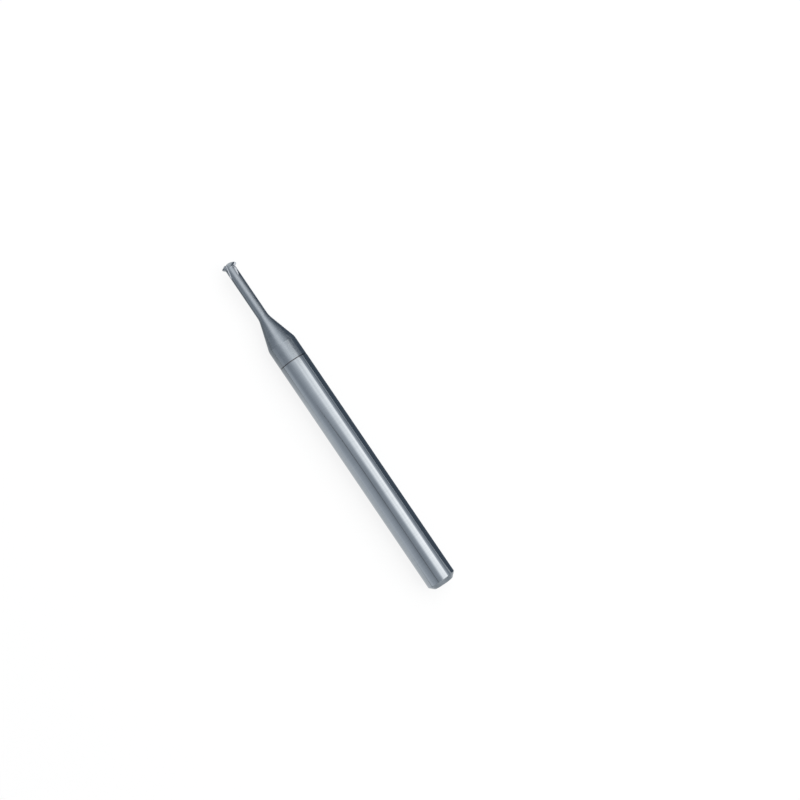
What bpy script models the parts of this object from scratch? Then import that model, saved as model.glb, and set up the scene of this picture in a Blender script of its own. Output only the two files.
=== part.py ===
# A solid carbide thread mill with a single row of teeth, for cutting an M3 x 0.5 internal thread.
#
# The tool is ground from one rod, so it is one solid. It lies on its shank along X, with the
# cutting end towards -X and the shank end towards +X. The origin is on the surface that it lies
# on, below the middle of its length.
#
# A station is a distance along the tool's axis from the front face of the cutting end.

import math

import bmesh
import bpy
from mathutils import Vector

MM = 0.001

# Whole tool
OVERALL_LENGTH = 50.0 * MM

# Cutting end
CUTTING_DIAMETER = 2.35 * MM
THREAD_PITCH = 0.5 * MM
FLANK_ANGLE = math.radians(30)  # of each flank to the plane across the axis, half the thread's 60 degrees
TOOTH_COUNT = 4
BACK_OFF = 0.15 * MM  # how far a crest falls from its cutting edge to its heel
FIRST_TOOTH_ANGLE = math.radians(33)  # of the first cutting edge at the front face, from Y towards Z
ROOT_FILLET = 0.12 * MM  # between the rear flanks and the neck

# Flutes, one in front of each tooth
FLUTE_DEPTH = 0.18 * MM  # how far the flutes reach below the neck's surface
RAKE_ANGLE = math.radians(3)
HELIX_ANGLE = math.radians(20)  # right-hand, at the cutting diameter
GULLET_OPENING = math.radians(50)  # from the rake face to the back of the tooth before it
GULLET_RADIUS = 0.16 * MM
FLUTE_PAST_TEETH = 0.10 * MM  # how far behind the teeth a flute keeps its depth
FLUTE_EXIT_RADIUS = 4.5 * MM  # arc on which a flute then rises out of the neck

# Neck and cone
NECK_DIAMETER = 1.48 * MM
NECK_LENGTH = 8.0 * MM
NECK_BLEND_RADIUS = 3.0 * MM
CONE_HALF_ANGLE = math.radians(16.5)
SHOULDER_RADIUS = 1.2 * MM  # rounds the edge where the cone meets the ground front

# Shank
SHANK_DIAMETER = 4.0 * MM
GROUND_FRONT_LENGTH = 2.7 * MM  # reground cylinder between the cone and the run-out line
GROUND_FRONT_STEP = 0.010 * MM  # how far the reground cylinder lies below the shank
RUN_OUT_WIDTH = 0.14 * MM  # fine groove where the regrinding stops
RUN_OUT_FLOOR = 0.04 * MM
RUN_OUT_DEPTH = 0.035 * MM
END_CHAMFER = 0.6 * MM

# How far the grinding passes beyond what it cuts
FLUTE_PAST_FACE = 0.5 * MM
FLUTE_PAST_NECK = 0.02 * MM
FLUTE_PAST_CREST = 0.7 * MM

# Resolution
SIDES = 96
ARC_STEP = math.radians(6)
GULLET_ARC_STEP = math.radians(18)
FLUTE_STEPS = 4
FLUTE_EXIT_STEPS = 9

# Colour and finish of the ground carbide
CARBIDE_COLOUR = (0.33, 0.35, 0.38, 1.0)
CARBIDE_ROUGHNESS = 0.26

# Sizes that follow from those above
CUTTING_RADIUS = CUTTING_DIAMETER / 2
NECK_RADIUS = NECK_DIAMETER / 2
SHANK_RADIUS = SHANK_DIAMETER / 2
FRONT_RADIUS = SHANK_RADIUS - GROUND_FRONT_STEP
CREST_FLAT = THREAD_PITCH / 8
TOOTH_DEPTH = CUTTING_RADIUS - NECK_RADIUS
FLANK_WIDTH = TOOTH_DEPTH * math.tan(FLANK_ANGLE)
CREST_STATION = FLANK_WIDTH + CREST_FLAT / 2
TEETH_END = 2 * CREST_STATION
FLUTE_RISE = TEETH_END + FLUTE_PAST_TEETH  # station at which a flute starts to rise
CORE_RADIUS = NECK_RADIUS - FLUTE_DEPTH
TOOTH_PITCH_ANGLE = 2 * math.pi / TOOTH_COUNT
TWIST = math.tan(HELIX_ANGLE) / CUTTING_RADIUS  # turn of a flute for each metre of station


def arc(centre, radius, start, end, step=ARC_STEP):
    """Points on an arc, from angle start to angle end, both included."""
    count = max(2, math.ceil(abs(end - start) / step))
    angles = [start + (end - start) * i / count for i in range(count + 1)]
    return [(centre[0] + radius * math.cos(a), centre[1] + radius * math.sin(a)) for a in angles]


def tooth_outline():
    """The V of the teeth in (station, radius), from the front face to the neck."""
    back_of_crest = (CREST_STATION + CREST_FLAT / 2, CUTTING_RADIUS)
    # The rear flank runs into the neck through a fillet, which touches both.
    turn = math.pi / 2 - FLANK_ANGLE
    reach = ROOT_FILLET * math.tan(turn / 2)
    centre = (TEETH_END + reach, NECK_RADIUS + ROOT_FILLET)
    fillet = arc(centre, ROOT_FILLET, math.pi + FLANK_ANGLE, 1.5 * math.pi, 2 * ARC_STEP)
    return [(0.0, NECK_RADIUS), (CREST_STATION - CREST_FLAT / 2, CUTTING_RADIUS), back_of_crest, *fillet]


def neck_outline():
    """The blend from the neck into the cone, the cone, and its rounded meeting with the ground front."""
    up = math.pi / 2
    blend_centre = (NECK_LENGTH, NECK_RADIUS + NECK_BLEND_RADIUS)
    blend = arc(blend_centre, NECK_BLEND_RADIUS, -up, -up + CONE_HALF_ANGLE)
    rise = FRONT_RADIUS - blend[-1][1]
    corner = blend[-1][0] + rise / math.tan(CONE_HALF_ANGLE)
    past_corner = SHOULDER_RADIUS * math.tan(CONE_HALF_ANGLE / 2)
    shoulder_centre = (corner + past_corner, FRONT_RADIUS - SHOULDER_RADIUS)
    shoulder = arc(shoulder_centre, SHOULDER_RADIUS, up + CONE_HALF_ANGLE, up)
    return blend + shoulder, corner


def shank_outline(front_start):
    """The ground front, the line where its grinding runs out, and the shank with its end chamfer."""
    run_out = front_start + GROUND_FRONT_LENGTH
    slope = (RUN_OUT_WIDTH - RUN_OUT_FLOOR) / 2
    floor_radius = SHANK_RADIUS - RUN_OUT_DEPTH
    return [
        (run_out, FRONT_RADIUS),
        (run_out + slope, floor_radius),
        (run_out + slope + RUN_OUT_FLOOR, floor_radius),
        (run_out + RUN_OUT_WIDTH, SHANK_RADIUS),
        (OVERALL_LENGTH - END_CHAMFER, SHANK_RADIUS),
        (OVERALL_LENGTH, SHANK_RADIUS - END_CHAMFER),
    ]


def turned_blank():
    """The tool before its flutes are ground: its outline spun about X."""
    neck, front_start = neck_outline()
    outline = [(0.0, 0.0), *tooth_outline(), *neck, *shank_outline(front_start), (OVERALL_LENGTH, 0.0)]
    blank = bmesh.new()
    points = [blank.verts.new((station, 0.0, -radius)) for station, radius in outline]
    edges = [blank.edges.new(pair) for pair in zip(points, points[1:])]
    bmesh.ops.spin(
        blank, geom=points + edges, cent=(0, 0, 0), axis=(1, 0, 0), angle=2 * math.pi, steps=SIDES
    )
    bmesh.ops.remove_doubles(blank, verts=blank.verts, dist=1e-4 * MM)
    bmesh.ops.recalc_face_normals(blank, faces=blank.faces)
    return blank


def cutting_edge_angle(station):
    """Angle of the first tooth's cutting edge about the axis, which follows the flute's helix."""
    return FIRST_TOOTH_ANGLE + station * TWIST


def back_off_teeth(blank):
    """Lowers each crest behind its cutting edge, and its flanks with it, down to nothing at the root."""
    gullet = gullet_angle()
    land = TOOTH_PITCH_ANGLE - gullet
    for point in blank.verts:
        radius = math.hypot(point.co.y, point.co.z)
        if point.co.x > TEETH_END or radius <= NECK_RADIUS:
            continue
        angle = math.atan2(point.co.z, point.co.y) - cutting_edge_angle(point.co.x)
        behind = angle % TOOTH_PITCH_ANGLE
        # Past the heel the crest climbs back within the gullet, where the grinding takes it away.
        share = behind / land if behind < land else (TOOTH_PITCH_ANGLE - behind) / gullet
        drop = BACK_OFF * share * (radius - NECK_RADIUS) / TOOTH_DEPTH
        point.co.yz *= (radius - drop) / radius
    # Backing off leaves the four-sided faces of the teeth twisted, and only flat ones cut cleanly.
    toothed = [face for face in blank.faces if face.calc_center_median().x < TEETH_END]
    bmesh.ops.triangulate(blank, faces=toothed)


def gullet_section():
    """One gullet across the axis, as (ahead, out) from the axis.

    Out runs through the cutting edge, and ahead is the way that the tooth cuts. Returned are the
    centre and points of the round bottom, and the ways that the rake face and the back leave it.
    """
    edge = Vector((0.0, CUTTING_RADIUS))
    # The rake face leans back from the cutting edge, and the round bottom touches it and the core.
    inwards = Vector((-math.sin(RAKE_ANGLE), -math.cos(RAKE_ANGLE)))
    across = Vector((math.cos(RAKE_ANGLE), -math.sin(RAKE_ANGLE)))
    start = edge + across * GULLET_RADIUS
    along = start.dot(inwards)
    beyond = start.length_squared - (CORE_RADIUS + GULLET_RADIUS) ** 2
    centre = start + inwards * (-along - math.sqrt(along * along - beyond))
    first = math.pi - RAKE_ANGLE
    last = first + math.pi - GULLET_OPENING
    bottom = [Vector(p) for p in arc(centre, GULLET_RADIUS, first, last, GULLET_ARC_STEP)]
    back = Vector((math.sin(GULLET_OPENING + RAKE_ANGLE), math.cos(GULLET_OPENING + RAKE_ANGLE)))
    return centre, bottom, -inwards, back


def reach_circle(start, way, radius):
    """The point where a line from start, inside the circle about the axis, leaves that circle."""
    along = start.dot(way)
    return start + way * (math.sqrt(along**2 - start.length_squared + radius**2) - along)


def gullet_angle():
    """How much of the circle of the crests one gullet takes."""
    centre, bottom, rake, back = gullet_section()
    heel = reach_circle(bottom[-1], back, CUTTING_RADIUS)
    return math.atan2(heel.x, heel.y)


def flute_stations():
    """Pairs of (station, lift) along one flute, from ahead of the front face until it has left the neck."""
    ahead = -FLUTE_PAST_FACE
    clear = FLUTE_DEPTH + FLUTE_PAST_NECK
    exit_length = math.sqrt(FLUTE_EXIT_RADIUS**2 - (FLUTE_EXIT_RADIUS - clear) ** 2)
    for i in range(FLUTE_STEPS + 1):
        yield ahead + (FLUTE_RISE - ahead) * i / FLUTE_STEPS, 0.0
    for i in range(1, FLUTE_EXIT_STEPS + 1):
        past = exit_length * i / FLUTE_EXIT_STEPS
        yield FLUTE_RISE + past, FLUTE_EXIT_RADIUS - math.sqrt(FLUTE_EXIT_RADIUS**2 - past**2)


def flute_cutters():
    """The spaces that the grinding wheel sweeps, one for each flute."""
    centre, bottom, rake, back = gullet_section()
    outwards = centre.normalized()
    beyond = CUTTING_RADIUS + FLUTE_PAST_CREST
    section = [reach_circle(bottom[0], rake, beyond), *bottom, reach_circle(bottom[-1], back, beyond)]
    cutters = bmesh.new()
    for tooth in range(TOOTH_COUNT):
        rings = []
        for station, lift in flute_stations():
            turn = cutting_edge_angle(station) + tooth * TOOTH_PITCH_ANGLE
            out = Vector((0.0, math.cos(turn), math.sin(turn)))
            ahead = Vector((0.0, math.sin(turn), -math.cos(turn)))
            shifted = [point + outwards * lift for point in section]
            axis_point = Vector((station, 0.0, 0.0))
            rings.append([cutters.verts.new(axis_point + ahead * p.x + out * p.y) for p in shifted])
        for near, far in zip(rings, rings[1:]):
            for i in range(len(section)):
                j = (i + 1) % len(section)
                cutters.faces.new((near[i], near[j], far[j], far[i]))
        cutters.faces.new(rings[0])
        cutters.faces.new(rings[-1])
    bmesh.ops.recalc_face_normals(cutters, faces=cutters.faces)
    # The helix twists each four-sided face, and only flat ones cut cleanly.
    bmesh.ops.triangulate(cutters, faces=cutters.faces)
    return cutters


def to_object(name, shape):
    """A scene object from a bmesh in the tool's own frame, laid down at its place."""
    mesh = bpy.data.meshes.new(name)
    shape.to_mesh(mesh)
    shape.free()
    made = bpy.data.objects.new(name, mesh)
    bpy.context.scene.collection.objects.link(made)
    made.location = (-OVERALL_LENGTH / 2, 0.0, SHANK_RADIUS)
    return made


def grind_flutes(tool):
    cutter = to_object("flute_cutters", flute_cutters())
    cut = tool.modifiers.new("flutes", "BOOLEAN")
    cut.operation = "DIFFERENCE"
    cut.solver = "EXACT"
    cut.object = cutter
    bpy.context.view_layer.objects.active = tool
    bpy.ops.object.modifier_apply(modifier=cut.name)
    bpy.data.objects.remove(cutter)


def carbide():
    material = bpy.data.materials.new("ground_carbide")
    material.use_nodes = True
    shader = material.node_tree.nodes["Principled BSDF"]
    shader.inputs["Base Color"].default_value = CARBIDE_COLOUR
    shader.inputs["Metallic"].default_value = 1.0
    shader.inputs["Roughness"].default_value = CARBIDE_ROUGHNESS
    return material


def build():
    for old in list(bpy.data.objects):
        bpy.data.objects.remove(old)
    blank = turned_blank()
    back_off_teeth(blank)
    tool = to_object("thread_mill", blank)
    grind_flutes(tool)
    tool.data.materials.append(carbide())
    tool.data.shade_smooth()
    tool.data.set_sharp_from_angle(angle=math.radians(25))


build()
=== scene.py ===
# The looks of a solid carbide thread mill for M3 x 0.5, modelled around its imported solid.
# A station is a distance along the tool's axis from the front face of the cutting end.

import math

import bmesh
import bpy
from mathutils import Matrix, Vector


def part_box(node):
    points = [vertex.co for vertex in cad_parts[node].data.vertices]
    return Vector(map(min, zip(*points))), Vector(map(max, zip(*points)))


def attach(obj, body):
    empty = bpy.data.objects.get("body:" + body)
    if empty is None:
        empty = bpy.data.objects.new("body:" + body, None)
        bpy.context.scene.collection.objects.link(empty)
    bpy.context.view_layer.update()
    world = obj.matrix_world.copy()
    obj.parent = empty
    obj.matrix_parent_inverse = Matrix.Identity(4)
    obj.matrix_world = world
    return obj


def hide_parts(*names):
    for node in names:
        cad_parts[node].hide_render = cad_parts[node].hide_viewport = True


mm = 0.001

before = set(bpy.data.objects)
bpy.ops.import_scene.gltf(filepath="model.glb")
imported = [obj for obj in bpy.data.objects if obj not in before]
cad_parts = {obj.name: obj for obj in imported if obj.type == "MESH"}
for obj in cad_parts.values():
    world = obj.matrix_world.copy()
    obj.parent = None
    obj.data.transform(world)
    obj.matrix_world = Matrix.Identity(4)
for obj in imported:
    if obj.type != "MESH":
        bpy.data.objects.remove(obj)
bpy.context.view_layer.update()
low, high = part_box("thread_mill")
tipX = low.x
overallLength = high.x - low.x
shankRadius = (high.z - low.z) / 2
axisZ = low.z + shankRadius
print("frame loaded,", round(overallLength / mm, 2), "mm long")

blank = {
    "sides": 288,
    "neckRadius": 0.74 * mm,
    "neckLength": 8.0 * mm,
    "neckBlend": 3.0 * mm,
    "coneHalfAngle": math.radians(16.5),
    "shoulderRounding": 1.2 * mm,
    "frontStep": 0.010 * mm,  # how far the reground front lies below the shank
    "frontLength": 2.7 * mm,
    "grooveWidth": 0.14 * mm,
    "grooveFloor": 0.04 * mm,
    "grooveDepth": 0.035 * mm,
    "endChamfer": 0.6 * mm,
    "chamferRounding": 0.12 * mm,
    "faceRounding": 0.03 * mm,
    "edgeRounding": 0.006 * mm,  # of a ground edge
    "arcStep": math.radians(3),
    "fewestSteps": 3,
    "edgeSteps": 2,
    "mergeDistance": 0.001 * mm,
    "smoothBelow": math.radians(22),  # a sharper edge between two faces stays sharp
}

teeth = {
    "cuttingRadius": 1.175 * mm,
    "crestFlat": 0.0625 * mm,  # an eighth of the pitch
    "flankAngle": math.radians(30),
    "rootFillet": 0.12 * mm,
    "count": 4,
    "backOff": 0.15 * mm,  # how far a crest falls from its cutting edge to its heel
    "firstEdge": math.radians(33),
}
toothDepth = teeth["cuttingRadius"] - blank["neckRadius"]
flankWidth = toothDepth * math.tan(teeth["flankAngle"])
teethEnd = 2 * flankWidth + teeth["crestFlat"]
toothTurn = 2 * math.pi / teeth["count"]

flute = {
    "depth": 0.18 * mm,  # below the neck's surface
    "rake": math.radians(3),
    "helix": math.radians(20),
    "opening": math.radians(50),
    "bottomRadius": 0.16 * mm,
    "bottomSegments": 16,
    "pastTeeth": 0.10 * mm,
    "exitRadius": 4.5 * mm,
    "pastFace": 0.5 * mm,
    "pastNeck": 0.02 * mm,
    "pastCrest": 0.7 * mm,
    "cornerReach": 0.01 * mm,
    "straightSteps": 10,
    "exitSteps": 48,
}
twist = math.tan(flute["helix"]) / teeth["cuttingRadius"]
coreRadius = blank["neckRadius"] - flute["depth"]


def millCorners():
    # station, radius and rounding of each corner of the turned outline, from the front face back
    neck = blank["neckRadius"]
    edge = blank["edgeRounding"]
    front = shankRadius - blank["frontStep"]
    blend = blank["neckLength"] + blank["neckBlend"] * math.tan(blank["coneHalfAngle"] / 2)
    shoulder = blend + (front - neck) / math.tan(blank["coneHalfAngle"])
    groove = shoulder + blank["frontLength"]
    slope = (blank["grooveWidth"] - blank["grooveFloor"]) / 2
    grooveBottom = shankRadius - blank["grooveDepth"]
    chamfer = blank["endChamfer"]
    return [
        (0.0, 0.0, 0.0),
        (0.0, neck, edge),
        (flankWidth, teeth["cuttingRadius"], edge),
        (flankWidth + teeth["crestFlat"], teeth["cuttingRadius"], edge),
        (teethEnd, neck, teeth["rootFillet"]),
        (blend, neck, blank["neckBlend"]),
        (shoulder, front, blank["shoulderRounding"]),
        (groove, front, 0.0),
        (groove + slope, grooveBottom, 0.0),
        (groove + slope + blank["grooveFloor"], grooveBottom, 0.0),
        (groove + blank["grooveWidth"], shankRadius, 0.0),
        (overallLength - chamfer, shankRadius, blank["chamferRounding"]),
        (overallLength, shankRadius - chamfer, blank["faceRounding"]),
        (overallLength, 0.0, 0.0),
    ]


def roundedOutline(corners):
    points = []
    for i, (station, radius, rounding) in enumerate(corners):
        corner = Vector((station, radius))
        if not rounding:
            points.append(corner)
            continue
        arriving = (corner - Vector(corners[i - 1][:2])).normalized()
        leaving = (Vector(corners[i + 1][:2]) - corner).normalized()
        turn = arriving.angle(leaving)
        centre = corner + (leaving - arriving).normalized() * rounding / math.cos(turn / 2)
        start = corner - arriving * rounding * math.tan(turn / 2) - centre
        side = 1 if arriving.x * leaving.y - arriving.y * leaving.x > 0 else -1
        count = blank["edgeSteps"]
        if rounding > blank["edgeRounding"]:
            count = max(blank["fewestSteps"], math.ceil(turn / blank["arcStep"]))
        for j in range(count + 1):
            angle = math.atan2(start.y, start.x) + side * turn * j / count
            points.append(centre + rounding * Vector((math.cos(angle), math.sin(angle))))
    return points


def pointAt(station, ahead, out, turn):
    # out runs from the axis through a cutting edge at that turn, and ahead is the way it cuts
    y = out * math.cos(turn) + ahead * math.sin(turn)
    z = out * math.sin(turn) - ahead * math.cos(turn)
    return Vector((tipX + station, y, axisZ + z))


def turnBlank():
    outline = roundedOutline(millCorners())
    bpy.ops.object.select_all(action="DESELECT")
    bpy.ops.mesh.primitive_plane_add(size=mm, location=(0, 0, 0))
    mill = bpy.context.active_object
    mill.name = "threadMill"
    bpy.ops.object.mode_set(mode="EDIT")
    bpy.ops.mesh.select_all(action="SELECT")
    bpy.ops.mesh.merge(type="CENTER")
    bpy.ops.transform.translate(value=(tipX, 0, axisZ))
    for here, there in zip(outline, outline[1:]):
        step = (there.x - here.x, 0, there.y - here.y)
        bpy.ops.mesh.extrude_vertices_move(TRANSFORM_OT_translate={"value": step})
    bpy.ops.mesh.select_all(action="SELECT")
    bpy.ops.mesh.spin(steps=blank["sides"], angle=2 * math.pi, center=(0, 0, axisZ), axis=(1, 0, 0))
    bpy.ops.mesh.select_all(action="SELECT")
    bpy.ops.mesh.remove_doubles(threshold=blank["mergeDistance"])
    bpy.ops.mesh.normals_make_consistent(inside=False)
    bpy.ops.object.mode_set(mode="OBJECT")
    print("blank turned,", len(mill.data.vertices), "points")
    return mill


def gulletSection():
    # a gullet across the axis, as (ahead, out): its corner, the ways its two sides go, and the way out
    inwards = Vector((-math.sin(flute["rake"]), -math.cos(flute["rake"])))
    across = Vector((math.cos(flute["rake"]), -math.sin(flute["rake"])))
    wheel = flute["bottomRadius"]
    start = Vector((0.0, teeth["cuttingRadius"])) + across * wheel
    along = start.dot(inwards)
    beyond = start.length_squared - (coreRadius + wheel) ** 2
    centre = start + inwards * (-along - math.sqrt(along * along - beyond))
    backAngle = flute["opening"] + flute["rake"]
    back = Vector((math.sin(backAngle), math.cos(backAngle)))
    corner = centre - (back - inwards).normalized() * wheel / math.sin(flute["opening"] / 2)
    return {"corner": corner, "rake": -inwards, "back": back, "outwards": centre.normalized()}


def reachCircle(start, way, radius):
    along = start.dot(way)
    return start + way * (math.sqrt(along**2 - start.length_squared + radius**2) - along)


def backOffTeeth(mill):
    # each crest falls behind its cutting edge, and its flanks with it, down to nothing at the root
    section = gulletSection()
    heel = reachCircle(section["corner"], section["back"], teeth["cuttingRadius"])
    gullet = math.atan2(heel.x, heel.y)
    land = toothTurn - gullet
    for point in mill.data.vertices:
        station, y, z = point.co.x - tipX, point.co.y, point.co.z - axisZ
        radius = math.hypot(y, z)
        if station > teethEnd or radius <= blank["neckRadius"]:
            continue
        behind = (math.atan2(z, y) - teeth["firstEdge"] - station * twist) % toothTurn
        share = behind / land if behind < land else (toothTurn - behind) / gullet
        drop = teeth["backOff"] * share * (radius - blank["neckRadius"]) / toothDepth
        point.co.y = y * (radius - drop) / radius
        point.co.z = axisZ + z * (radius - drop) / radius
    print("teeth backed off over", round(math.degrees(land), 1), "degrees")


def selectPart(piece, kind, wanted):
    # kind is verts, edges or faces, and wanted says which of them are taken
    shape = bmesh.from_edit_mesh(piece.data)
    bpy.ops.mesh.select_all(action="DESELECT")
    for part in getattr(shape, kind):
        part.select = wanted(part)
    shape.select_flush_mode()
    bmesh.update_edit_mesh(piece.data)


def fluteStations():
    rise = teethEnd + flute["pastTeeth"]
    run = rise + flute["pastFace"]
    clear = flute["depth"] + flute["pastNeck"]
    radius = flute["exitRadius"]
    exitLength = math.sqrt(radius**2 - (radius - clear) ** 2)
    for i in range(flute["straightSteps"] + 1):
        yield i / flute["straightSteps"] * run - flute["pastFace"], 0.0
    for i in range(1, flute["exitSteps"] + 1):
        past = exitLength * i / flute["exitSteps"]
        yield rise + past, radius - math.sqrt(radius**2 - past**2)


def fluteCutter(finish):
    # what the wheel sweeps: a wedge with a round bottom, drawn back along the helix and then lifted out
    section = gulletSection()
    corner = section["corner"]
    beyond = teeth["cuttingRadius"] + flute["pastCrest"]
    rakeEnd = reachCircle(corner, section["rake"], beyond)
    backEnd = reachCircle(corner, section["back"], beyond)
    wedge = [rakeEnd, corner, backEnd]
    stations = list(fluteStations())
    firstTurn = teeth["firstEdge"] + stations[0][0] * twist
    bpy.ops.object.select_all(action="DESELECT")
    bpy.ops.mesh.primitive_circle_add(vertices=3, radius=mm, fill_type="NGON", location=(0, 0, 0))
    cutter = bpy.context.active_object
    cutter.name = "fluteCutter"
    cutter.data.materials.append(finish)
    for point, place in zip(cutter.data.vertices, wedge):
        point.co = pointAt(stations[0][0], place.x, place.y, firstTurn)
    bpy.ops.object.mode_set(mode="EDIT")
    middle = pointAt(stations[0][0], corner.x, corner.y, firstTurn)
    selectPart(cutter, "verts", lambda v: (v.co - middle).length < flute["cornerReach"])
    reach = flute["bottomRadius"] / math.tan(flute["opening"] / 2)
    bpy.ops.mesh.bevel(offset=reach, segments=flute["bottomSegments"], profile=0.5, affect="VERTICES")
    bpy.ops.mesh.select_all(action="SELECT")
    for (here, lift), (there, nextLift) in zip(stations, stations[1:]):
        turn = teeth["firstEdge"] + there * twist
        bpy.ops.mesh.extrude_region_move(TRANSFORM_OT_translate={"value": (there - here, 0, 0)})
        bpy.ops.transform.rotate(
            value=-(there - here) * twist, orient_axis="X", center_override=(0, 0, axisZ)
        )
        out = (nextLift - lift) * section["outwards"]
        bpy.ops.transform.translate(value=pointAt(0, out.x, out.y, turn) - pointAt(0, 0, 0, turn))
    bpy.ops.mesh.select_all(action="SELECT")
    bpy.ops.mesh.quads_convert_to_tris()
    for copy in range(1, teeth["count"]):
        bpy.ops.mesh.duplicate()
        bpy.ops.transform.rotate(value=toothTurn, orient_axis="X", center_override=(0, 0, axisZ))
    bpy.ops.mesh.select_all(action="SELECT")
    bpy.ops.mesh.normals_make_consistent(inside=False)
    bpy.ops.object.mode_set(mode="OBJECT")
    return cutter


def grindFlutes(mill, finish):
    bpy.ops.object.select_all(action="DESELECT")
    mill.select_set(True)
    bpy.context.view_layer.objects.active = mill
    bpy.ops.object.mode_set(mode="EDIT")
    selectPart(mill, "faces", lambda f: f.calc_center_median().x < tipX + teethEnd)
    bpy.ops.mesh.quads_convert_to_tris()  # backing off twists the four-sided faces
    bpy.ops.object.mode_set(mode="OBJECT")
    cutter = fluteCutter(finish)
    cut = mill.modifiers.new("flutes", "BOOLEAN")
    cut.operation = "DIFFERENCE"
    cut.solver = "EXACT"
    cut.material_mode = "TRANSFER"
    cut.object = cutter
    bpy.ops.object.select_all(action="DESELECT")
    mill.select_set(True)
    bpy.context.view_layer.objects.active = mill
    bpy.ops.object.modifier_apply(modifier=cut.name)
    bpy.data.objects.remove(cutter)
    print("flutes ground,", len(mill.data.polygons), "faces")


def newFinish(name):
    finish = bpy.data.materials.new(name)
    finish.use_nodes = True
    return finish, finish.node_tree.nodes, finish.node_tree.links


grain = {
    "noiseRoughness": 0.55,
    "noiseMiddle": (0.3, 0.7),  # the span in which most of a noise lies
}


def millNoise(nodes, links, alongPerMm, aroundPerMm, detail):
    # noise on the tool's own coordinates, stretched along the axis or around it
    place = nodes.new("ShaderNodeTexCoord")
    stretch = nodes.new("ShaderNodeMapping")
    stretch.inputs["Location"].default_value = (0, 0, -axisZ * aroundPerMm / mm)
    stretch.inputs["Scale"].default_value = (alongPerMm / mm, aroundPerMm / mm, aroundPerMm / mm)
    noise = nodes.new("ShaderNodeTexNoise")
    noise.inputs["Scale"].default_value = 1.0
    noise.inputs["Detail"].default_value = detail
    noise.inputs["Roughness"].default_value = grain["noiseRoughness"]
    links.new(place.outputs["Object"], stretch.inputs["Vector"])
    links.new(stretch.outputs["Vector"], noise.inputs["Vector"])
    return noise.outputs["Fac"]


def ranged(nodes, links, value, lowest, highest, first, last):
    # takes the span from lowest to highest to the span from first to last
    span = nodes.new("ShaderNodeMapRange")
    span.inputs["From Min"].default_value = lowest
    span.inputs["From Max"].default_value = highest
    span.inputs["To Min"].default_value = first
    span.inputs["To Max"].default_value = last
    links.new(value, span.inputs["Value"])
    return span.outputs["Result"]


def spread(nodes, links, value, lowest, highest):
    # takes the middle of a noise to lowest and highest
    return ranged(nodes, links, value, *grain["noiseMiddle"], lowest, highest)


def added(nodes, links, first, second):
    both = nodes.new("ShaderNodeMath")
    both.operation = "ADD"
    links.new(first, both.inputs[0])
    links.new(second, both.inputs[1])
    return both.outputs["Value"]


def groundCarbide(name, look):
    finish, nodes, links = newFinish(name)
    shader = nodes["Principled BSDF"]
    shader.inputs["Metallic"].default_value = 1.0
    shader.inputs["Anisotropic"].default_value = look["anisotropy"]
    shader.inputs["Anisotropic Rotation"].default_value = look["anisotropicTurn"]
    around = nodes.new("ShaderNodeTangent")
    around.direction_type = "RADIAL"
    around.axis = "X"
    links.new(around.outputs["Tangent"], shader.inputs["Tangent"])

    rings = millNoise(nodes, links, *look["rings"])
    streaks = millNoise(nodes, links, *look["streaks"])
    clouds = millNoise(nodes, links, *look["clouds"])

    tone = nodes.new("ShaderNodeMix")
    tone.data_type = "RGBA"
    tone.inputs["A"].default_value = (*look["darkColour"], 1)
    tone.inputs["B"].default_value = (*look["paleColour"], 1)
    total = None
    for noise, part in zip((streaks, clouds, rings), look["shares"]):
        share = spread(nodes, links, noise, 0.0, part)
        total = added(nodes, links, total, share) if total else share
    links.new(total, tone.inputs["Factor"])
    links.new(tone.outputs["Result"], shader.inputs["Base Color"])

    half = (look["roughest"] - look["smoothest"]) / 2
    smooth = spread(nodes, links, clouds, look["smoothest"], look["smoothest"] + half)
    rough = added(nodes, links, smooth, spread(nodes, links, rings, 0.0, half))
    links.new(rough, shader.inputs["Roughness"])

    marks = nodes.new("ShaderNodeBump")
    marks.inputs["Strength"].default_value = 1.0
    marks.inputs["Distance"].default_value = look["ringDepth"]
    links.new(rings, marks.inputs["Height"])
    lines = nodes.new("ShaderNodeBump")
    lines.inputs["Strength"].default_value = 1.0
    lines.inputs["Distance"].default_value = look["streakDepth"]
    links.new(streaks, lines.inputs["Height"])
    links.new(marks.outputs["Normal"], lines.inputs["Normal"])
    links.new(lines.outputs["Normal"], shader.inputs["Normal"])
    return finish


shankLook = {
    "darkColour": (0.27, 0.305, 0.335),
    "paleColour": (0.355, 0.39, 0.425),
    "anisotropy": 0.2,
    "anisotropicTurn": 0.25,
    "smoothest": 0.05,
    "roughest": 0.10,
    "rings": (12.0, 0.35, 3.0),  # how many to the millimetre along the tool and across it, and detail
    "streaks": (0.04, 4.0, 3.0),
    "clouds": (0.25, 0.9, 4.0),
    "ringDepth": 0.00003 * mm,
    "streakDepth": 0.003 * mm,
    "shares": (0.35, 0.30, 0.35),  # of streaks, clouds and rings in the tone
}
frontLook = dict(shankLook, smoothest=0.18, roughest=0.28, ringDepth=0.0001 * mm)
neckLook = dict(shankLook, smoothest=0.24, roughest=0.34, ringDepth=0.0001 * mm, streakDepth=0.001 * mm)
toothLook = dict(neckLook, smoothest=0.18, roughest=0.30)
# the flutes are the same carbide: their paler colour is a painted highlight, and their rougher grind is
# their real finish
fluteLookPaintedHighlight = dict(neckLook, smoothest=0.28, roughest=0.38)
fluteLookPaintedHighlight.update(darkColour=(0.50, 0.53, 0.56), paleColour=(0.60, 0.63, 0.66))
# the groove is the same carbide: its near-black colour is painted shade in the recess
grooveLookPaintedShade = dict(frontLook, darkColour=(0.08, 0.085, 0.095), paleColour=(0.13, 0.135, 0.145))
endLook = dict(neckLook, smoothest=0.26, roughest=0.38)


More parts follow.
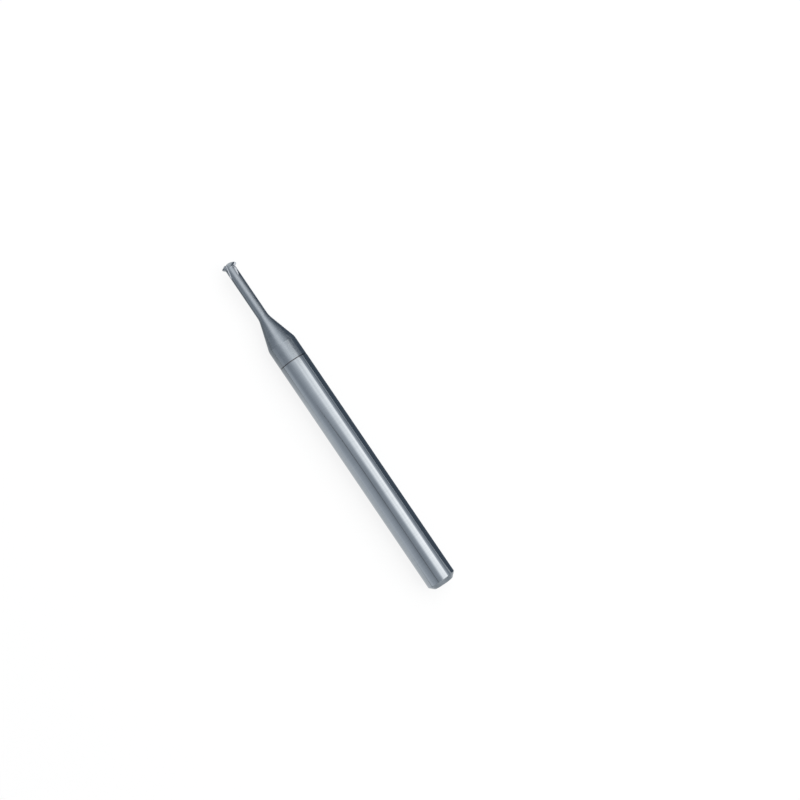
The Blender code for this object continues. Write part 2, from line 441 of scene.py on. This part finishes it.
def finishRegions(mill):
    corners = [corner[0] for corner in millCorners()]
    regions = [  # finish, and the station where it stops
        ("toothGround", toothLook, teethEnd),
        ("neckGround", neckLook, corners[6]),
        ("frontGround", frontLook, corners[7]),
        # the groove's finish carries the painted shade
        ("grooveGroundPaintedShade", grooveLookPaintedShade, corners[10]),
        ("shankGround", shankLook, corners[11]),
        ("endGround", endLook, overallLength + mm),
    ]
    for name, look, end in regions:
        mill.data.materials.append(groundCarbide(name, look))
    return [end for name, look, end in regions]


def assignRegions(mill, ends):
    for face in mill.data.polygons:
        if face.material_index < len(ends):
            station = face.center.x - tipX
            face.material_index = next(i for i, end in enumerate(ends) if station < end)


def markSharpEdges(mill):
    # the flutes' rims are sharp, whatever angle the two faces make there
    shape = bmesh.new()
    shape.from_mesh(mill.data)
    fluteSlot = len(mill.data.materials) - 1
    for edge in shape.edges:
        sides = {face.material_index == fluteSlot for face in edge.link_faces}
        edge.smooth = len(sides) == 1
    shape.to_mesh(mill.data)
    shape.free()
    bpy.ops.object.select_all(action="DESELECT")
    mill.select_set(True)
    bpy.context.view_layer.objects.active = mill
    bpy.ops.object.shade_smooth_by_angle(angle=blank["smoothBelow"], keep_sharp_edges=True)


def makeMill():
    mill = turnBlank()
    ends = finishRegions(mill)
    backOffTeeth(mill)
    # the flute faces take the paler carbide with the painted highlight
    grindFlutes(mill, groundCarbide("fluteGroundPaintedHighlight", fluteLookPaintedHighlight))
    assignRegions(mill, ends)
    markSharpEdges(mill)
    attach(mill, "root")
    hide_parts("thread_mill")
    print("mill dressed, slots", [slot.name for slot in mill.material_slots])
    return mill


studio = {
    "worldStrength": 0.55,
    "floorSize": 4.0,
    "floorColour": (0.86, 0.865, 0.87),
    "floorRoughness": 0.9,
    "floorSpecular": 0.1,
    "floorGlow": 0.85,  # share of the floor's look that is plain white, the rest takes the shadow
    "lampTilt": math.radians(36),  # from straight up, towards +Y
    "lampDistance": 0.40,
    "lampLength": 0.80,
    "lampWidth": 0.35,
    "lampPower": 2.4,
}


def showsBackground(nodes, links):
    # 1 for rays from the camera and for rays off metal or through glass
    path = nodes.new("ShaderNodeLightPath")
    either = nodes.new("ShaderNodeMath")
    either.operation = "MAXIMUM"
    links.new(path.outputs["Is Camera Ray"], either.inputs[0])
    links.new(path.outputs["Is Glossy Ray"], either.inputs[1])
    anyOfThem = nodes.new("ShaderNodeMath")
    anyOfThem.operation = "MAXIMUM"
    links.new(either.outputs["Value"], anyOfThem.inputs[0])
    links.new(path.outputs["Is Transmission Ray"], anyOfThem.inputs[1])
    return anyOfThem.outputs["Value"]


def whiteWorld():
    world = bpy.data.worlds.new("whiteStudio")
    bpy.context.scene.world = world
    world.use_nodes = True
    nodes, links = world.node_tree.nodes, world.node_tree.links
    light = nodes["Background"]
    light.inputs["Color"].default_value = (1, 1, 1, 1)
    light.inputs["Strength"].default_value = studio["worldStrength"]
    seen = nodes.new("ShaderNodeBackground")
    seen.inputs["Color"].default_value = (1, 1, 1, 1)
    seen.inputs["Strength"].default_value = 1.0
    either = nodes.new("ShaderNodeMixShader")
    links.new(showsBackground(nodes, links), either.inputs["Fac"])
    links.new(light.outputs["Background"], either.inputs[1])
    links.new(seen.outputs["Background"], either.inputs[2])
    links.new(either.outputs["Shader"], nodes["World Output"].inputs["Surface"])


def paleFloor():
    bpy.ops.object.select_all(action="DESELECT")
    bpy.ops.mesh.primitive_plane_add(size=studio["floorSize"], location=(0, 0, low.z))
    floor = bpy.context.active_object
    floor.name = "floor"
    finish, nodes, links = newFinish("paleFloor")
    matte = nodes["Principled BSDF"]
    matte.inputs["Base Color"].default_value = (*studio["floorColour"], 1)
    matte.inputs["Roughness"].default_value = studio["floorRoughness"]
    matte.inputs["Specular IOR Level"].default_value = studio["floorSpecular"]
    white = nodes.new("ShaderNodeEmission")
    white.inputs["Strength"].default_value = 1.0
    both = nodes.new("ShaderNodeMixShader")
    part = nodes.new("ShaderNodeMath")
    part.operation = "MULTIPLY"
    part.inputs[1].default_value = studio["floorGlow"]
    links.new(showsBackground(nodes, links), part.inputs[0])
    links.new(part.outputs["Value"], both.inputs["Fac"])
    links.new(matte.outputs["BSDF"], both.inputs[1])
    links.new(white.outputs["Emission"], both.inputs[2])
    links.new(both.outputs["Shader"], nodes["Material Output"].inputs["Surface"])
    floor.data.materials.append(finish)


def softbox():
    # lights the floor, while the arch below gives the metal what it reflects
    lamp = bpy.data.lights.new("softbox", "AREA")
    lamp.shape = "RECTANGLE"
    lamp.size = studio["lampLength"]
    lamp.size_y = studio["lampWidth"]
    lamp.energy = studio["lampPower"]
    holder = bpy.data.objects.new("softbox", lamp)
    bpy.context.scene.collection.objects.link(holder)
    tilt, distance = studio["lampTilt"], studio["lampDistance"]
    holder.location = (0, distance * math.sin(tilt), axisZ + distance * math.cos(tilt))
    holder.rotation_euler = (-tilt, 0, 0)
    holder.visible_glossy = False


# Two half cylinders over the tool, which its metal reflects. The levels run from the floor on the
# -Y side over the top to the floor on the +Y side: degrees from straight up, and how bright. Those
# at the -X end pass into those at the +X end over the blend.
lampArch = {
    "radius": 0.50,
    "from": -0.080,
    "to": 0.400,
    "blend": (-0.055, 0.010),
    "startLevels": [
        (-90, 0.95), (-74, 0.85), (-62, 0.62), (-50, 0.54), (-36, 0.62), (-21, 0.76),
        (-6, 0.98), (3, 1.20), (9, 1.45), (16, 1.90), (30, 1.95), (40, 2.30),
        (56, 2.40), (61, 0.95), (72, 0.60), (81, 0.38), (90, 0.56),
    ],
    "endLevels": [
        (-90, 1.00), (-78, 0.96), (-66, 0.80), (-50, 0.70), (-38, 0.58), (-28, 0.48),
        (-13, 0.56), (0, 0.66), (8, 0.86), (14, 1.35), (22, 2.00), (30, 2.40), (38, 2.20),
        (45, 2.60), (57, 2.70), (62, 1.00), (72, 0.70), (81, 0.44), (90, 0.56),
    ],
}
roomArch = {
    "radius": 0.51,
    "from": -1.0,
    "to": 1.0,
    "blend": (-0.35, -0.15),
    "startLevels": [
        (-90, 0.36), (-66, 0.40), (-46, 0.42), (-26, 0.74), (-8, 1.42),
        (8, 1.50), (29, 1.14), (48, 0.82), (69, 0.42), (90, 0.25),
    ],
    "endLevels": [
        (-90, 0.42), (-66, 0.38), (-46, 0.38), (-26, 0.60), (-8, 1.25),
        (8, 1.52), (29, 0.92), (48, 0.50), (69, 0.22), (90, 0.20),
    ],
}
arches = {
    "segments": 48,
    "brightest": 2.7,
    "red": 0.97,
    "green": (1.015, 0.046),  # against red: at level 1, and how much less at twice that level
    "blue": (1.05, 0.10),
}

# Flat cards on the floor that only the metal reflects: the corner at -X -Y, the one across from it,
# and the colour at the -X side and at the +X side
cardHeight = 0.05 * mm
cards = {
    "shadeFar": [(-60 * mm, 2.4 * mm), (26 * mm, 80 * mm), (0.12, 0.15, 0.19), (0.12, 0.15, 0.19)],
    "shadeTip": [(-60 * mm, -90 * mm), (-18 * mm, -2.4 * mm), (0.28, 0.30, 0.32), (0.30, 0.32, 0.34)],
    "shadeFront": [(-18 * mm, -90 * mm), (-3 * mm, -2.4 * mm), (0.30, 0.32, 0.34), (1.0, 1.0, 1.0)],
    "shadeEnd": [(27 * mm, -90 * mm), (400 * mm, 90 * mm), (0.58, 0.60, 0.62), (0.58, 0.60, 0.62)],
}
flag = {  # a thin strip, bent where the fine dark line along the shank bends
    "middle": [
        (-0.100, -0.455), (-0.075, -0.440), (-0.056, -0.395), (-0.042, -0.325), (-0.030, -0.258),
        (-0.017, -0.205), (0.000, -0.177), (0.024, -0.172), (0.060, -0.180), (0.120, -0.192),
    ],
    "width": 0.045,
    "height": 0.38,
    "colour": (0.28, 0.29, 0.30),
}


def reflected(name, points, faces):
    # a surface that only the metal's reflections see
    mesh = bpy.data.meshes.new(name)
    mesh.from_pydata(points, [], faces)
    sheet = bpy.data.objects.new(name, mesh)
    bpy.context.scene.collection.objects.link(sheet)
    finish, nodes, links = newFinish(name)
    nodes.remove(nodes["Principled BSDF"])
    glow = nodes.new("ShaderNodeEmission")
    links.new(glow.outputs["Emission"], nodes["Material Output"].inputs["Surface"])
    mesh.materials.append(finish)
    sheet.visible_camera = False
    sheet.visible_diffuse = False
    sheet.visible_shadow = False
    sheet.visible_transmission = False
    return nodes, links, glow


def archColour(level):
    # what is dim is cooler, and what is bright is more neutral
    red = arches["red"] * level / arches["brightest"]
    green, blue = (atOne - less * math.log2(level) for atOne, less in (arches["green"], arches["blue"]))
    return red, red * green, red * blue


def lightArch(name, arch):
    points = []
    for i in range(arches["segments"] + 1):
        angle = math.pi * (i / arches["segments"] - 0.5)
        y, z = arch["radius"] * math.sin(angle), axisZ + arch["radius"] * math.cos(angle)
        points += [(arch["from"], y, z), (arch["to"], y, z)]
    faces = [(2 * i, 2 * i + 1, 2 * i + 3, 2 * i + 2) for i in range(arches["segments"])]
    nodes, links, glow = reflected(name, points, faces)
    place = nodes.new("ShaderNodeTexCoord")
    parts = nodes.new("ShaderNodeSeparateXYZ")
    tilt = nodes.new("ShaderNodeMath")
    tilt.operation = "ARCTAN2"
    links.new(place.outputs["Object"], parts.inputs["Vector"])
    links.new(parts.outputs["Y"], tilt.inputs[0])
    links.new(parts.outputs["Z"], tilt.inputs[1])
    share = ranged(nodes, links, tilt.outputs["Value"], -math.pi / 2, math.pi / 2, 0.0, 1.0)
    both = nodes.new("ShaderNodeMix")
    both.data_type = "RGBA"
    reach = ranged(nodes, links, parts.outputs["X"], *arch["blend"], 0.0, 1.0)
    links.new(reach, both.inputs["Factor"])
    for levels, socket in ((arch["startLevels"], "A"), (arch["endLevels"], "B")):
        ramp = nodes.new("ShaderNodeValToRGB")
        stops = ramp.color_ramp.elements
        while len(stops) < len(levels):
            stops.new(1.0)
        for stop, (degrees, level) in zip(stops, levels):
            stop.position = degrees / 180 + 0.5
            stop.color = (*archColour(level), 1)
        links.new(share, ramp.inputs["Fac"])
        links.new(ramp.outputs["Color"], both.inputs[socket])
    links.new(both.outputs["Result"], glow.inputs["Color"])
    glow.inputs["Strength"].default_value = arches["brightest"]


def reflectedCard(name, near, far, startColour, endColour):
    corners = [(near[0], near[1]), (far[0], near[1]), (far[0], far[1]), (near[0], far[1])]
    points = [(x, y, low.z + cardHeight) for x, y in corners]
    nodes, links, glow = reflected(name, points, [(0, 1, 2, 3)])
    place = nodes.new("ShaderNodeTexCoord")
    parts = nodes.new("ShaderNodeSeparateXYZ")
    blend = nodes.new("ShaderNodeMix")
    blend.data_type = "RGBA"
    blend.inputs["A"].default_value = (*startColour, 1)
    blend.inputs["B"].default_value = (*endColour, 1)
    links.new(place.outputs["Object"], parts.inputs["Vector"])
    share = ranged(nodes, links, parts.outputs["X"], near[0], far[0], 0.0, 1.0)
    links.new(share, blend.inputs["Factor"])
    links.new(blend.outputs["Result"], glow.inputs["Color"])
    glow.inputs["Strength"].default_value = 1.0


def reflectedFlag():
    half = flag["width"] / 2
    points = [(x, y + side, flag["height"]) for x, y in flag["middle"] for side in (-half, half)]
    faces = [(2 * i, 2 * i + 1, 2 * i + 3, 2 * i + 2) for i in range(len(flag["middle"]) - 1)]
    nodes, links, glow = reflected("flag", points, faces)
    glow.inputs["Color"].default_value = (*flag["colour"], 1)
    glow.inputs["Strength"].default_value = 1.0


photoView = {
    "azimuth": math.radians(55.74),
    "elevation": math.radians(86.37),
    "distance": 143.0 * mm,
    "aim": Vector((2.33 * mm, 8.64 * mm, 2.0 * mm)),
    "lens": 49.5,
    "sensor": 36.0,
    "nearest": 5 * mm,
}


def photoCamera():
    azimuth, elevation = photoView["azimuth"], photoView["elevation"]
    level = math.cos(elevation)
    ahead = Vector((-math.sin(azimuth) * level, math.cos(azimuth) * level, -math.sin(elevation)))
    camera = bpy.data.objects.new("photoCamera", bpy.data.cameras.new("photoCamera"))
    bpy.context.scene.collection.objects.link(camera)
    camera.location = photoView["aim"] - ahead * photoView["distance"]
    camera.rotation_euler = ahead.to_track_quat("-Z", "Y").to_euler()
    camera.data.lens = photoView["lens"]
    camera.data.sensor_width = photoView["sensor"]
    camera.data.clip_start = photoView["nearest"]
    bpy.context.scene.camera = camera


photoCamera()
makeMill()
whiteWorld()
paleFloor()
softbox()
lightArch("lampArch", lampArch)
lightArch("roomArch", roomArch)
for name, card in cards.items():
    reflectedCard(name, *card)
reflectedFlag()
bpy.context.scene.view_settings.view_transform = "Standard"
print("studio set up")
